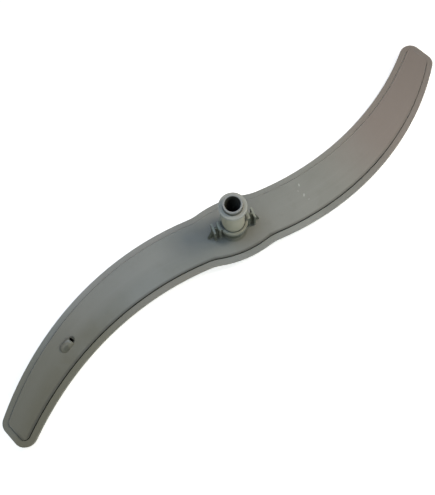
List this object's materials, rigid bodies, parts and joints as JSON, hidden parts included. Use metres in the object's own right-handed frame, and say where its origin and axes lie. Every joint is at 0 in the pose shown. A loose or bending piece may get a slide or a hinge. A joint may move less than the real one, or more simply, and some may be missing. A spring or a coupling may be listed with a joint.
{
  "type": "dishwasher spray arm",
  "caption": "S-shaped dishwasher spray arm: flat cover let into a hollow nozzle shell, with an inlet spigot at the hub and a bearing bush held by ribbed latch posts.",
  "frame": {"origin": "on the hub axis, at the flat crown of the hull that the arm lies on", "axes": "+Z along the hub axis, out of the inlet spigot; +X from one flat end towards the other"},
  "size_m": [0.5, 0.1082, 0.0814],
  "materials": {
    "shell_plastic": "grey satin moulded plastic, rounded rim",
    "cover_plastic": "grey satin moulded plastic, lightly scuffed",
    "bush_plastic": "lighter grey smooth bearing plastic"
  },
  "bodies": {
    "arm": {"nozzle_shell": "shell_plastic", "cover_plate": "cover_plastic"},
    "bush": {"bearing_bush": "bush_plastic"}
  },
  "joints": [
    {"name": "bush_spin", "type": "hinge", "parent": "arm", "child": "bush", "pos_m": [0, 0, 0.056], "axis": [0, 0, 1], "continuous": true}
  ]
}
